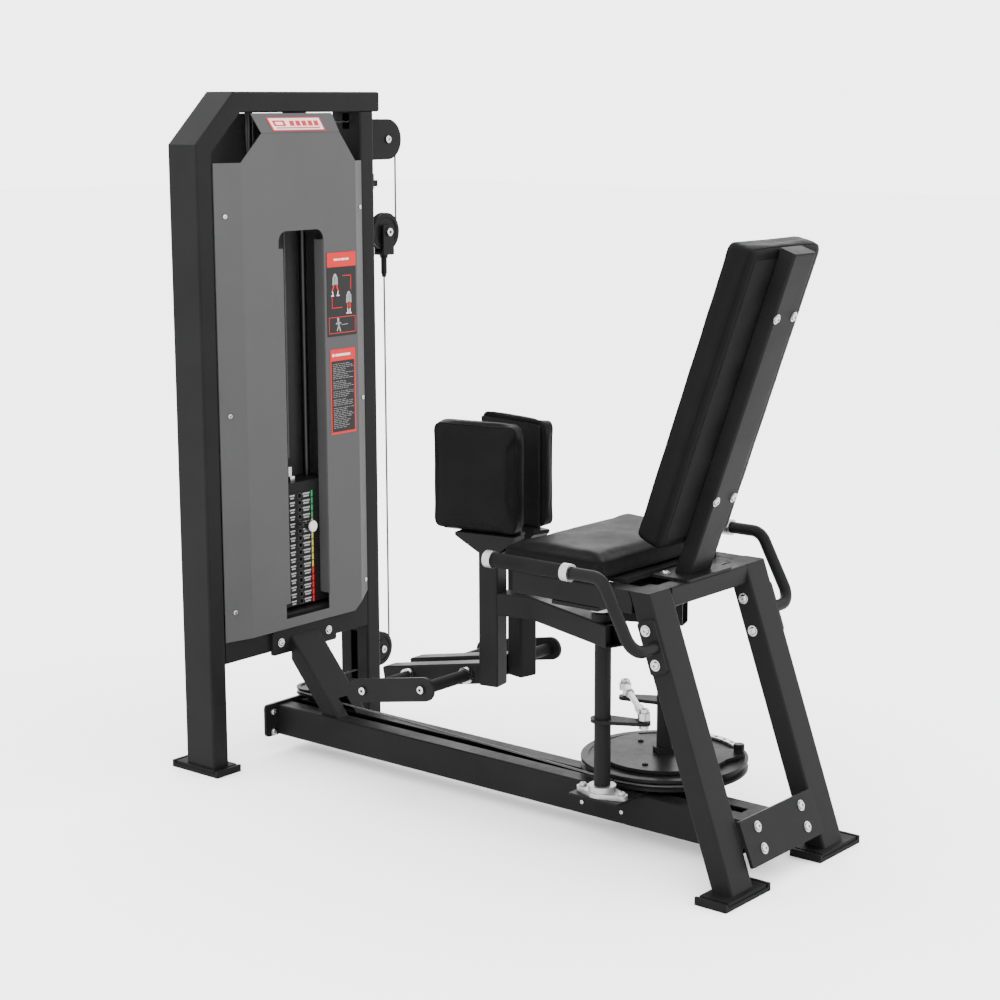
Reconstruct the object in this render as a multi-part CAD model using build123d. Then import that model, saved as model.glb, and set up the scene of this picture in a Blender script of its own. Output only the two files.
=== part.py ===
from build123d import *
import math
import os

os.makedirs("parts", exist_ok=True)

# ---------------------------------------------------------------- dimensions
# Millimetres. +X is the user's right, +Y points from the seat to the weight
# tower, +Z is up. The numbers are laid out about the machine's centre plane
# (x = 0) and save() moves them to the middle of the footprint.
SHIFT_X, SHIFT_Y = 54.0, 1.75            # footprint middle in layout numbers
WALL = 3.0                               # tube wall
T_Y0, T_Y1 = 668.0, 768.0                # depth of the 50 x 100 tower tubes
T_TOP = 1665.0                           # overall height
XL0, XL1 = -318.0, -268.0                # left upright
XR0, XR1 = 243.0, 293.0                  # right upright
TB_END = 315.0                           # free end of the top beam
XB_Z0, XB_Z1 = 275.0, 365.0              # crossbar
SHROUD_Y = 650.0                         # face of the front shroud
SX, SY = 12.5, 718.0                     # weight stack centre line
PLATE_T, PLATE_GAP, N_PLATES, N_REST = 17.6, 0.7, 16, 11
STACK_Z0 = 374.0                         # underside of the lowest plate
PL_W, PL_Y0, PL_Y1 = 115.0, SY - 36.0, SY + 44.0   # half width, front and back of the plates
BEAM_HALF, BEAM_Z0, BEAM_Z1 = 61.0, 41.0, 119.5
BEAM_Y0, BEAM_Y1 = -742.0, 704.0         # base beam ends
SLOT_HALF = 15.0                         # cable slot in the beam
PIV_X, PIV_Y = 120.0, -378.0             # arm shafts
SHAFT_R = 18.5
LEG_X0, LEG_X1 = 144.4, 224.0            # rear legs
LEG_RUN = 0.3587                         # leg lean, run per rise
SEAT_Z = 630.0                           # top of the seat frame
ARM_Z0, ARM_Z1 = 472.0, 525.0
BEND_X, BEND_Y = 31.9, -129.2            # bend of the arm tubes
POST_X, POST_Y = 54.0, -9.8              # pad posts
POST_ROT = 10.5                          # degrees the posts are turned out
DISC_R, DISC_Z0, DISC_Z1 = 193.0, 131.0, 158.0
GROOVE_R = 186.0                         # cable centre line on the disc
PULLEY_R, PULLEY_G, PULLEY_W = 50.0, 46.0, 18.0
PX, PZ_TOP, PZ_FLOAT = 382.0, 1544.0, 1304.5   # pulleys outside the upright
FOOT_PX, FOOT_PZ, FOOT_R, FOOT_G = 338.0, 185.0, 46.0, 42.0
BASE_PX, BASE_PY, BASE_PZ, BASE_G = 46.0, 676.0, 143.0, 42.0
CABLE_R = 2.5                            # 5 mm steel cable
PIN_CLEAR = 0.05                         # running fit of a shaft in a bore
GAP = 0.3                                # clearance between moving faces


# ---------------------------------------------------------------- helpers
def bar(x0, x1, y0, y1, z0, z1, r=0.0, axis=Axis.Z):
    b = Box(x1 - x0, y1 - y0, z1 - z0)
    if r:
        b = fillet(b.edges().filter_by(axis), r)
    return b.moved(Location(((x0 + x1) / 2, (y0 + y1) / 2, (z0 + z1) / 2)))


def zcyl(x, y, z0, z1, r):
    return Cylinder(r, z1 - z0).moved(Location((x, y, (z0 + z1) / 2)))


def ycyl(x, z, y0, y1, r):
    return Cylinder(r, y1 - y0).moved(Location((x, (y0 + y1) / 2, z), (90, 0, 0)))


def xcyl(y, z, x0, x1, r):
    return Cylinder(r, x1 - x0).moved(Location(((x0 + x1) / 2, y, z), (0, 90, 0)))


def rod(p, q, r, ri=0.0):
    p, q = Vector(*p), Vector(*q)
    pl = Plane(origin=p, z_dir=(q - p).normalized())
    s = extrude(pl * Circle(r), amount=(q - p).length)
    if ri:
        s = s - extrude(Plane(origin=p - (q - p).normalized(), z_dir=(q - p).normalized()) * Circle(ri), amount=(q - p).length + 2)
    return s


def beam(p, q, w, h, xdir, wall=WALL, r=5.0):
    """rectangular tube from p to q; w is measured along xdir"""
    p, q = Vector(*p), Vector(*q)
    d = (q - p).normalized()
    pl = Plane(origin=p, x_dir=xdir, z_dir=d)
    o = extrude(pl * RectangleRounded(w, h, r), amount=(q - p).length)
    if wall:
        pi = Plane(origin=p - d * 2, x_dir=xdir, z_dir=d)
        o = o - extrude(pi * RectangleRounded(w - 2 * wall, h - 2 * wall, max(r - wall, 0.8)), amount=(q - p).length + 4)
    return o


def half(pt, n, big=3000):
    pl = Plane(origin=pt, z_dir=n)
    return extrude(pl * Rectangle(big, big), amount=big)


def mx(s):
    return mirror(s, about=Plane.YZ)


def solids_of(items):
    out = []
    for i in items:
        if isinstance(i, (list, tuple)):
            out += solids_of(i)
        else:
            out += list(i.solids())
    return out


def save(name, *s):
    c = Compound(children=[j.moved(Location((-SHIFT_X, -SHIFT_Y, 0))) for j in solids_of(s)])
    c.label = name
    export_step(c, f"parts/{name}.step")


def head(p, n, r=8.0, h=5.5, wash=0.0):
    """button head with a hexagon socket, standing on a face at p along n"""
    pl = Plane(origin=Vector(*p), z_dir=n)
    b = extrude(pl * Circle(r), amount=h)
    b = fillet(b.edges().filter_by(GeomType.CIRCLE).sort_by(lambda e: (e.center() - Vector(*p)).dot(Vector(*n)))[-1], h * 0.6)
    k = extrude(Plane(origin=Vector(*p) + Vector(*n).normalized() * h * 0.5, z_dir=n) * RegularPolygon(r * 0.38, 6), amount=h)
    b = b - k
    if wash:
        b = b + extrude(pl * Circle(r + wash), amount=1.6)
    return b


def wheel(r, g, w, bore):
    """grooved pulley about the Z axis, centred; g is the cable centre line"""
    t = g - CABLE_R
    pts = [(bore, -w / 2 - 1), (13, -w / 2 - 1), (13, -w / 2 + 3), (r - 13, -w / 2 + 3), (r - 10, -w / 2),
           (r - 0.8, -w / 2), (r, -w / 2 + 0.8), (r, -w / 2 + 2.4), (t, -2.6), (t, 2.6), (r, w / 2 - 2.4), (r, w / 2 - 0.8),
           (r - 0.8, w / 2), (r - 10, w / 2), (r - 13, w / 2 - 3), (13, w / 2 - 3), (13, w / 2 + 1), (bore, w / 2 + 1)]
    f = make_face(Plane.XZ * Polyline(*pts, close=True))
    return revolve(f, Axis.Z)


def prism_y(pts, y0, y1):
    return extrude(Plane.XZ * Polygon(*pts, align=None), amount=y1 - y0, dir=(0, 1, 0)).moved(Location((0, y0, 0)))


def prism_x(pts, x0, x1):
    return extrude(Plane.YZ * Polygon(*pts, align=None), amount=x1 - x0, dir=(1, 0, 0)).moved(Location((x0, 0, 0)))


def prism_z(pts, z0, z1):
    return extrude(Polygon(*pts, align=None), amount=z1 - z0, dir=(0, 0, 1)).moved(Location((0, 0, z0)))


def unit(x, y):
    n = math.hypot(x, y)
    return (x / n, y / n)


AXR = 6.0                                 # pulley axle radius

# ================================================================ base
b = beam((0, BEAM_Y0, (BEAM_Z0 + BEAM_Z1) / 2), (0, BEAM_Y1, (BEAM_Z0 + BEAM_Z1) / 2), BEAM_Z1 - BEAM_Z0, 2 * BEAM_HALF, (0, 0, 1), r=6)
back_n = Vector(0, math.cos(math.atan(LEG_RUN)), math.sin(math.atan(LEG_RUN)))
b = b & half((0, -747 + 0.0, 148), (0, 0.9279, 0.3729))
b = b - bar(-SLOT_HALF, SLOT_HALF, -677, BEAM_Y1 + 5, BEAM_Z1 - 10, BEAM_Z1 + 10)
save("base_beam", b)
ep = bar(-102, 102, BEAM_Y1, BEAM_Y1 + 8, BEAM_Z0 - 0.0, BEAM_Z1 + 6, r=10, axis=Axis.Y)
# leaning plate between the rear legs
up = Vector(0, 0.3729, 0.9279)
nn = Vector(0, -0.9279, 0.3729)
pc = Vector(0, (-747 - 785) / 2, (148 + 53.5) / 2)
rp = extrude(Plane(origin=pc, x_dir=(1, 0, 0), z_dir=nn) * RectangleRounded(2 * LEG_X0 - 0.2, 102, 4), amount=8)
save("base_end_plates", ep, rp)


# rear legs, leaning tubes cut level at both ends
def leg_y(z):
    return -791.9 + LEG_RUN * (z - 20)


LEG_D = 53.0                              # level depth of the leg
legs = []
for s in (-1, 1):
    xa, xb = sorted((s * LEG_X0, s * LEG_X1))
    o = prism_x([(leg_y(17.5), 17.5), (leg_y(17.5) + LEG_D, 17.5), (leg_y(SEAT_Z) + LEG_D, SEAT_Z), (leg_y(SEAT_Z), SEAT_Z)], xa, xb)
    o = fillet(o.edges().filter_by(lambda e: abs(e.tangent_at(0.5).X) < 0.1 and abs(e.tangent_at(0.5).Z) > 0.5), 5)
    w = WALL / math.cos(math.atan(LEG_RUN))
    i = prism_x([(leg_y(10) + w, 10.0), (leg_y(10) + LEG_D - w, 10.0), (leg_y(SEAT_Z - WALL) + LEG_D - w, SEAT_Z - WALL), (leg_y(SEAT_Z - WALL) + w, SEAT_Z - WALL)], xa + WALL, xb - WALL)
    legs.append(o - i)
save("rear_legs", legs)


def shoe(x0, x1, y0, y1, along_x):
    """rubber shoe: a sole with a raised lip at both ends"""
    if along_x:
        prof = [(x0, 0), (x1, 0), (x1, 17.5), (x1 - 7, 17.5), (x1 - 10, 9.5), (x0 + 10, 9.5), (x0 + 7, 17.5), (x0, 17.5)]
        s = prism_y(prof, y0, y1)
    else:
        prof = [(y0, 0), (y1, 0), (y1, 17.5), (y1 - 7, 17.5), (y1 - 10, 9.5), (y0 + 10, 9.5), (y0 + 7, 17.5), (y0, 17.5)]
        s = prism_x(prof, x0, x1)
    return s


save("foot_shoes", shoe(-271.5, -101.7, -808.5, -730, True), shoe(101.7, 271.5, -808.5, -730, True),
     shoe(-326, -246, 649, 812, False), shoe(228, 308, 649, 812, False),
     bar(-258, -115, -806, -733, 9.5, 17.5), bar(115, 258, -806, -733, 9.5, 17.5),
     bar(-324, -248, 662, 799, 9.5, 17.5), bar(230, 306, 662, 799, 9.5, 17.5))

# ================================================================ tower
TYC = (T_Y0 + T_Y1) / 2
CA, CB = (XL0, 1542.0), (-191.0, T_TOP)
cx, cz = CB[0] - CA[0], CB[1] - CA[1]
cl = math.hypot(cx, cz)
cx, cz = cx / cl, cz / cl
n_low = Vector(cx, 0, cz + 1)
n_top = Vector(cx + 1, 0, cz)
zc = TYC
u_l = beam(((XL0 + XL1) / 2, TYC, 17.5), ((XL0 + XL1) / 2, TYC, 1640), 50, 100, (1, 0, 0), r=6) - half((CA[0], TYC, CA[1]), n_low)
save("tower_left_upright", u_l)
off = Vector(cz, 0, -cx) * 25
pa = Vector(CA[0], TYC, CA[1]) + off
pb = Vector(CB[0], TYC, CB[1]) + off
dd = Vector(cx, 0, cz)
ctube = beam(tuple(pa - dd * 60), tuple(pb + dd * 60), 50, 100, Vector(cz, 0, -cx), r=6)
ctube = (ctube & half((CA[0], TYC, CA[1]), n_low)) - half((CB[0], TYC, CB[1]), n_top)
tbeam = beam((-290, TYC, T_TOP - 25), (TB_END - 3, TYC, T_TOP - 25), 50, 100, (0, 0, 1), r=6) & half((CB[0], TYC, CB[1]), n_top)
tcap = bar(TB_END - 3, TB_END, T_Y0 + 1, T_Y1 - 1, T_TOP - 49, T_TOP - 1, r=5, axis=Axis.X)
save("tower_top_beam", ctube, tbeam, tcap)
u_r = beam(((XR0 + XR1) / 2, TYC, 17.5), ((XR0 + XR1) / 2, TYC, T_TOP - 50), 50, 100, (1, 0, 0), r=6)
u_r = u_r - bar(XR0 - 5, XR1 + 5, SY - 12, SY + 12, 1572, 1612) - bar(XR0 - 5, XR1 + 5, SY - 12, SY + 12, 120, 254)
save("tower_right_upright", u_r)
save("tower_crossbar", beam((XL1, TYC, (XB_Z0 + XB_Z1) / 2), (XR0, TYC, (XB_Z0 + XB_Z1) / 2), XB_Z1 - XB_Z0, 100, (0, 0, 1), r=6))
# brace: its upper face runs from (661, 310.6) to (497.7, 119.5)
bu = Vector(0, 661 - 497.7, 310.6 - 120.5).normalized()
bn = Vector(0, bu.Z, -bu.Y)                # towards the tower, under the tube
b0 = Vector(0, 497.7, 120.5) + bn * 22.5
br = beam(tuple(b0 - bu * 60), tuple(b0 + bu * 290), 100, 45, (1, 0, 0), r=5)
br = br & bar(-60, 60, 300, 659.8, BEAM_Z1, 330)
br = br - bar(-15, 15, 400, 640, BEAM_Z1 - 5, 158)
bp = bar(-115, 115, 659.8, 667.9, 266, 326, r=6, axis=Axis.Y)
save("diagonal_brace", br, bp)


# ---------------------------------------------------------------- shrouds
def outline(y0, y1):
    pts = [(-268, 331), (-268, 1498), (-192, 1498), (-122, 1566), (148, 1566), (204, 1494), (243, 1494), (243, 372), (210, 356), (178, 331)]
    return prism_y(pts, y0, y1)


def shroud(yf, s):
    """folded sheet: flat centre panel with a shallow facet down each side"""
    ye = T_Y0 - 2.0 if s < 0 else T_Y1 + 2.0
    t = 2.0 * s
    prof = [(-267.8, ye), (-192, yf), (204, yf), (242.8, ye), (242.8, ye - t), (204, yf - t), (-192, yf - t), (-267.8, ye - t)]
    b = prism_z(prof, 300, 1590)
    return b & outline(min(ye, yf) - 5, max(ye, yf) + 5)


fs = shroud(SHROUD_Y, -1)
WR = 26.0                                 # corner radius at the head of the window
win = [(-58, 394), (-73, 394), (-73, 356), (82, 356), (82, 394), (84, 394)]
win += [(84 - WR + WR * math.cos(math.radians(a)), 1329 - WR + WR * math.sin(math.radians(a))) for a in range(0, 91, 15)]
win += [(-73 + WR + WR * math.cos(math.radians(a)), 1329 - WR + WR * math.sin(math.radians(a))) for a in range(90, 181, 15)]
win += [(-73, 1287), (-58, 1287)]
cut = prism_y(win, SHROUD_Y - 30, SHROUD_Y + 30)
fs = fs - cut
# leaning head panel
hd = Vector(0, 15, 48).normalized()
hn = Vector(0, -48, 15).normalized()
hp = Plane(origin=(0, SHROUD_Y + 2, 1566), x_dir=(1, 0, 0), z_dir=hn)
head_panel = extrude(hp * Polygon((-122, 0), (148, 0), (136, 49), (-142, 49), align=None), amount=2.0, dir=hn)
flange = bar(82, 84, SHROUD_Y + 2, PL_Y0 - 1, 396, 1302)
flange_l = bar(-60, -58, SHROUD_Y + 2, PL_Y0 - 1, 396, 1285)
save("front_shroud", fs, head_panel, flange, flange_l)
hn2 = Vector(0, 48, 15).normalized()
rear_head = extrude(Plane(origin=(0, T_Y1 + 16, 1566), x_dir=(1, 0, 0), z_dir=hn2) * Polygon((-122, 0), (148, 0), (136, -49), (-142, -49), align=None), amount=2.0, dir=hn2)
save("rear_shroud", shroud(T_Y1 + 18, 1), rear_head)
hq = Plane(origin=Vector(0, SHROUD_Y + 2, 1566) + hn * 2.0, x_dir=(1, 0, 0), z_dir=hn)
save("label_plates", bar(93, 198, SHROUD_Y - 0.8, SHROUD_Y, 1056, 1268, r=4, axis=Axis.Y),
     bar(100, 191, SHROUD_Y - 0.8, SHROUD_Y, 805, 1023, r=4, axis=Axis.Y),
     extrude(hq * Polygon((-81, 4), (99, 4), (87, 39), (-97, 39), align=None), amount=1.0, dir=hn))

# ================================================================ weight stack
PITCH = PLATE_T + PLATE_GAP
ROD_X = (SX - 88, SX + 88)
ROD_Y = SY + 24.0                         # rods stand behind the cable's plane


def wplate(i):
    z0 = STACK_Z0 + i * PITCH
    b = bar(SX - PL_W, SX + PL_W, PL_Y0, PL_Y1, z0, z0 + PLATE_T, r=5)
    for x in ROD_X:
        b = b - zcyl(x, ROD_Y, z0 - 1, z0 + PLATE_T + 1, 11.5)
    b = b - zcyl(SX, SY, z0 - 1, z0 + PLATE_T + 1, 14.0)
    b = b - ycyl(SX, z0 + PLATE_T / 2, SY - 60, SY, 5.8)
    return b


PIN_I = N_REST
ZPIN = STACK_Z0 + PIN_I * PITCH + PLATE_T / 2
save("resting_plates", [wplate(i) for i in range(N_REST)])
save("lifted_plates", [wplate(i) for i in range(N_REST, N_PLATES)])
ztp = STACK_Z0 + N_PLATES * PITCH
tp = bar(SX - PL_W, SX + PL_W, PL_Y0, PL_Y1, ztp, ztp + 26, r=5)
for x in ROD_X:
    tp = tp - zcyl(x, ROD_Y, ztp - 1, ztp + 40, 10.0 + PIN_CLEAR)
save("top_plate", tp)
stem = zcyl(SX, SY, STACK_Z0 + 6, ztp - 0.0, 12.5)
for i in range(N_PLATES):
    stem = stem - ycyl(SX, STACK_Z0 + i * PITCH + PLATE_T / 2, SY - 20, SY + 20, 5.2)
socket = extrude(Plane.XY * RegularPolygon(15, 6), amount=12).moved(Location((SX, SY, ztp + 26))) + zcyl(SX, SY, ztp + 38, ztp + 62, 9)
save("selector_stem", stem, socket)
pin = ycyl(SX, ZPIN, SY - 60, SY + 2, 5.0) + ycyl(SX, ZPIN, SY - 66, SY - 52, 9.0)
knob = ycyl(SX, ZPIN, SY - 84, SY - 66, 15.0)
knob = fillet(knob.edges().filter_by(GeomType.CIRCLE), 2.5)
save("selector_pin", pin + knob)
rods = [zcyl(x, ROD_Y, XB_Z1, T_TOP - 50, 10.0) for x in ROD_X]
bump = [zcyl(x, ROD_Y, XB_Z1, STACK_Z0, 20.0) - zcyl(x, ROD_Y, XB_Z1 - 1, STACK_Z0 + 1, 10.05) for x in ROD_X]
save("guide_rods", rods, bump)

# ================================================================ pulleys
STX = SX + PULLEY_G                       # stack pulley: its left tangent is the stem line
wt = wheel(PULLEY_R, PULLEY_G, PULLEY_W, AXR + PIN_CLEAR).rotate(Axis.X, 90)
save("outer_top_pulley", wt.moved(Location((PX, SY, PZ_TOP))))
save("stack_pulley", wt.moved(Location((STX, SY, PZ_TOP))))
save("floating_pulley", wt.moved(Location((PX, SY, PZ_FLOAT))))
save("foot_pulley", wheel(FOOT_R, FOOT_G, PULLEY_W, AXR + PIN_CLEAR).rotate(Axis.X, 90).moved(Location((FOOT_PX, SY, FOOT_PZ))))
save("base_pulley", wheel(FOOT_R, BASE_G, PULLEY_W, AXR + PIN_CLEAR).moved(Location((BASE_PX, BASE_PY, BASE_PZ))))


def d_cheek(x, z, r, xb, y0, y1):
    s = Plane.XZ * (Pos(x, z) * Circle(r) + Pos((x + xb) / 2, z) * Rectangle(abs(x - xb), 2 * r - 0.02))
    c = extrude(s, amount=-(y1 - y0)).moved(Location((0, y0, 0)))
    return c - ycyl(x, z, y0 - 5, y1 + 5, AXR)


def cheeks(x, z, r, xb):
    return [d_cheek(x, z, r, xb, SY - 17, SY - 12), d_cheek(x, z, r, xb, SY + 12, SY + 17)]


def axle_y(x, z, y0, y1):
    return [ycyl(x, z, y0, y1, AXR), head((x, y0, z), (0, -1, 0), 10, 6.5), head((x, y1, z), (0, 1, 0), 10, 6.5)]


top_back = bar(XR1, XR1 + 6.5, SY - 24, SY + 24, 1445, 1571)
anchor_block = bar(XR1, XR1 + 6.5, SY - 20, SY + 20, 1408, 1444) + bar(XR1 + 6.5, 350, SY - 9, SY + 9, 1424, 1440) - zcyl(PX - PULLEY_G, SY, 1400, 1460, 5.0)
fork = bar(STX - 25, STX + 25, SY - 17, SY - 12, PZ_TOP - 25, T_TOP - 50) + bar(STX - 25, STX + 25, SY + 12, SY + 17, PZ_TOP - 25, T_TOP - 50)
fork = fork + bar(STX - 25, STX + 25, SY - 12, SY + 12, T_TOP - 56, T_TOP - 50)
fork = fork - ycyl(STX, PZ_TOP, SY - 40, SY + 40, AXR)
foot_ck = [d_cheek(FOOT_PX, FOOT_PZ, 24, XR1, SY - 17, SY - 12), d_cheek(FOOT_PX, FOOT_PZ, 24, XR1, SY + 12, SY + 17)]
base_bk = zcyl(BASE_PX, BASE_PY, BEAM_Z1, BASE_PZ - 10, 18)
base_bk = base_bk - zcyl(BASE_PX, BASE_PY, BEAM_Z1 - 1, BASE_PZ, AXR)
save("pulley_brackets", top_back, cheeks(PX, PZ_TOP, 52, XR1 + 6.5), anchor_block, fork, foot_ck, base_bk)
save("pulley_axles", axle_y(PX, PZ_TOP, SY - 17, SY + 17), axle_y(STX, PZ_TOP, SY - 17, SY + 17), axle_y(FOOT_PX, FOOT_PZ, SY - 17, SY + 17),
     zcyl(BASE_PX, BASE_PY, BEAM_Z1, BASE_PZ + 10, AXR), head((BASE_PX, BASE_PY, BASE_PZ + 10.2), (0, 0, 1), 11, 6.5))
# floating block: strap, axle and turnbuckle
fl = [bar(PX - 20, PX + 20, SY - 17, SY - 12, PZ_FLOAT - 46.5, PZ_FLOAT + 18), bar(PX - 20, PX + 20, SY + 12, SY + 17, PZ_FLOAT - 46.5, PZ_FLOAT + 18)]
fl = fl[0] + fl[1] + bar(PX - 20, PX + 20, SY - 17, SY + 17, PZ_FLOAT - 60, PZ_FLOAT - 54) + bar(PX - 20, PX + 20, SY - 17, SY - 12, PZ_FLOAT - 56, PZ_FLOAT - 40) + bar(PX - 20, PX + 20, SY + 12, SY + 17, PZ_FLOAT - 56, PZ_FLOAT - 40)
fl = fl - ycyl(PX, PZ_FLOAT, SY - 30, SY + 30, AXR)
save("floating_strap", fl, axle_y(PX, PZ_FLOAT, SY - 17, SY + 17))
tbz = PZ_FLOAT - 60
DCX = FOOT_PX + FOOT_G                    # drive cable line
tb = extrude(Plane.XY * RegularPolygon(11, 6), amount=8).moved(Location((DCX, SY, tbz - 8))) + zcyl(DCX, SY, tbz - 50, tbz - 8, 8) + zcyl(DCX, SY, tbz - 58, tbz - 50, 6)
save("floating_turnbuckle", tb)

# ---------------------------------------------------------------- cable
ztop_cab = PZ_TOP + PULLEY_G
fixed = [rod((STX, SY, ztop_cab), (PX, SY, ztop_cab), CABLE_R),
         rod((FOOT_PX, SY, BASE_PZ), (BASE_PX, BASE_PY + BASE_G, BASE_PZ), CABLE_R)]


def arc_tube(c, r, a0, a1, plane):
    """cable lying in a groove: part of a ring, angles in degrees"""
    ring_ = revolve(Plane.XZ * (Pos(r, 0) * Circle(CABLE_R)), Axis.Z, a1 - a0)
    ring_ = ring_.rotate(Axis.Z, a0)
    if plane == "xz":
        ring_ = ring_.rotate(Axis.X, 90)
    return ring_.moved(Location(c))


fixed += [arc_tube((STX, SY, PZ_TOP), PULLEY_G + 0.05, 90, 180, "xz"), arc_tube((PX, SY, PZ_TOP), PULLEY_G + 0.05, 0, 90, "xz"),
          arc_tube((FOOT_PX, SY, FOOT_PZ), FOOT_G + 0.05, -90, 0, "xz")]
# base pulley to disc: common tangent on the left
dxx, dyy = PIV_X - BASE_PX, PIV_Y - BASE_PY
D = math.hypot(dxx, dyy)
ang_c = math.atan2(dyy, dxx)
th = ang_c - math.acos((BASE_G - GROOVE_R) / D)
mxv, myv = math.cos(th), math.sin(th)
T1 = (BASE_PX + BASE_G * mxv, BASE_PY + BASE_G * myv, BASE_PZ)
T2 = (PIV_X + GROOVE_R * mxv, PIV_Y + GROOVE_R * myv, BASE_PZ)
print("tangents", T1, T2, math.degrees(th))
th_d = math.degrees(th) % 360
fixed += [rod(T1, T2, CABLE_R), arc_tube((BASE_PX, BASE_PY, BASE_PZ), BASE_G + 0.05, 90, th_d, "xy")]
save("stack_cable_run", rod((SX, SY, ztp + 62), (SX, SY, PZ_TOP), CABLE_R))
save("floating_cable_runs", rod((PX + PULLEY_G, SY, PZ_FLOAT), (PX + PULLEY_G, SY, PZ_TOP), CABLE_R),
     rod((PX - PULLEY_G, SY, PZ_FLOAT), (PX - PULLEY_G, SY, 1441), CABLE_R))
save("drive_cable_run", rod((DCX, SY, FOOT_PZ), (DCX, SY, tbz - 58), CABLE_R))
save("fixed_cable_runs", fixed, [zcyl(PX - PULLEY_G, SY, 1440.2, 1456, 7.5) - zcyl(PX - PULLEY_G, SY, 1430, 1450, CABLE_R)])
save("disc_cable_end", arc_tube((PIV_X, PIV_Y, BASE_PZ), GROOVE_R + 0.05, th_d + 2, th_d + 60, "xy"))

# ================================================================ seat frame
RX0, RX1 = 174.0, 224.0
rails = [beam((s * 199, -207, 605), (s * 199, leg_y(605) + LEG_D + 0.0, 605), 50, 50, (1, 0, 0), r=5) for s in (-1, 1)]
rails = [r_ - half((0, leg_y(605) + LEG_D, 605), (0, -math.cos(math.atan(LEG_RUN)), math.sin(math.atan(LEG_RUN)))) for r_ in rails]
caps = [bar(s * 199 - 24, s * 199 + 24, -207 + 0.0, -204, 581, 629, r=4, axis=Axis.Y) for s in (-1, 1)]
rear_t = beam((-LEG_X0, leg_y(608) + 26, 608), (LEG_X0, leg_y(608) + 26, 608), 44, 44, (0, 0, 1), r=5)
# level closing plate beside the foot of the backrest
close = bar(88, 144.2, leg_y(608) + 48.2, -455, 624, 629.9) + bar(144.1, 173.9, leg_y(608) + 62.5, -455, 624, 629.9)
save("seat_frame", rails, rear_t, close)
upl = bar(-174, 174, -440, -316, 572, 580)
for s in (-1, 1):
    upl = upl - zcyl(s * PIV_X, PIV_Y, 560, 590, SHAFT_R + 3)
upl = upl + bar(-224, -174, -440, -316, 572, 580) + bar(174, 224, -440, -316, 572, 580)
lpl = bar(-155, 155, -445, -311, BEAM_Z1, BEAM_Z1 + 5, r=4)
save("bearing_plates", upl, lpl)
sbp = bar(-177, 177, -477, -200, SEAT_Z, SEAT_Z + 10, r=6)
save("seat_base_plate", sbp)
cush = bar(-232, 232, -457, -176, SEAT_Z + 10, 689)
cush = fillet(cush.edges(), 11)
save("seat_cushion", cush)

# ---------------------------------------------------------------- backrest
B_RUN = (785 - 574) / 600.0               # lean of the backrest, run per rise
BL = math.atan(B_RUN)
BP_LOW, BP_LEN, BP_T = -16.0, 686.0, 70.0  # backrest pad: lower end along the tube, length, thickness
bu_ = Vector(0, -math.sin(BL), math.cos(BL))
bf_ = Vector(0, math.cos(BL), math.sin(BL))    # out of the front of the pad


def back_pt(z, off_=0.0):
    """point on the tube's back face at height z, moved forward by off_"""
    return Vector(0, -574 - B_RUN * (z - 700), z) + bf_ * off_


bt = beam(tuple(back_pt(600, 20)), tuple(back_pt(1331, 20)), 82, 40, (1, 0, 0), r=5)
bt = bt - bar(-100, 100, -800, -300, 500, SEAT_Z + 6)
btc = extrude(Plane(origin=back_pt(1331, 20), x_dir=(1, 0, 0), z_dir=bu_) * RectangleRounded(80, 38, 4), amount=3)
bfp = bar(-85, 85, -578, -480, SEAT_Z, SEAT_Z + 6, r=6)
save("backrest_tube", bt, btc, bfp)
pad = extrude(Plane(origin=back_pt(700, 40.0) + bu_ * BP_LOW, x_dir=(1, 0, 0), z_dir=bf_) * Rectangle(278, BP_LEN, align=(Align.CENTER, Align.MAX)), amount=BP_T)
pad = fillet(pad.edges(), 17)
save("backrest_pad", pad)

# ---------------------------------------------------------------- side handles
HX = 306.0


def handle(s):
    pts = [(s * HX, -200, 670), (s * HX, -510, 670), (s * HX, -592, 519), (s * 230, -592, 519)]
    path = FilletPolyline(*pts, radius=(38.0, 38.0))
    sec = Plane(origin=Vector(*pts[0]), z_dir=(0, -1, 0)) * Circle(13.5)
    tube = sweep(sec, path=path)
    pl_ = bar(*sorted((s * LEG_X1, s * (LEG_X1 + 6))), -22, 22, -58, 58, r=8, axis=Axis.X)
    pl_ = pl_.rotate(Axis.X, -math.degrees(math.atan(LEG_RUN))).moved(Location((0, leg_y(518) + 27, 518)))
    return tube, pl_


handles, hplates = [], []
for s in (-1, 1):
    t_, p_ = handle(s)
    handles += [t_]
    hplates += [p_]
save("side_handles", handles, hplates)
save("handle_grips", [rod((s * HX, -223, 670), (s * HX, -412, 670), 16.0, 13.55) for s in (-1, 1)])
save("handle_collars", [rod((s * HX, -203, 670), (s * HX, -222.8, 670), 19.0, 13.55) for s in (-1, 1)],
     [rod((s * HX, -412.2, 670), (s * HX, -432, 670), 19.0, 13.55) for s in (-1, 1)])


# ---------------------------------------------------------------- bearings
def flange_bearing(x, y, z0, flip=False):
    """two-bolt flange bearing standing on z0, bolts along Y"""
    r_ = Plane.XY * make_hull((Circle(33).edges() + (Pos(0, 53) * Circle(14)).edges() + (Pos(0, -53) * Circle(14)).edges()))
    b_ = extrude(r_, amount=11, dir=(0, 0, 1))
    b_ = b_ + Cylinder(31, 24).moved(Location((0, 0, 12))) - Cylinder(SHAFT_R + PIN_CLEAR, 80)
    bo = [head((0, sy * 53, 11), (0, 0, 1), 8.5, 7) for sy in (-1, 1)]
    items = [b_] + bo
    if flip:
        items = [i.rotate(Axis.X, 180) for i in items]
    return [i.moved(Location((x, y, z0))) for i in items]


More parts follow.
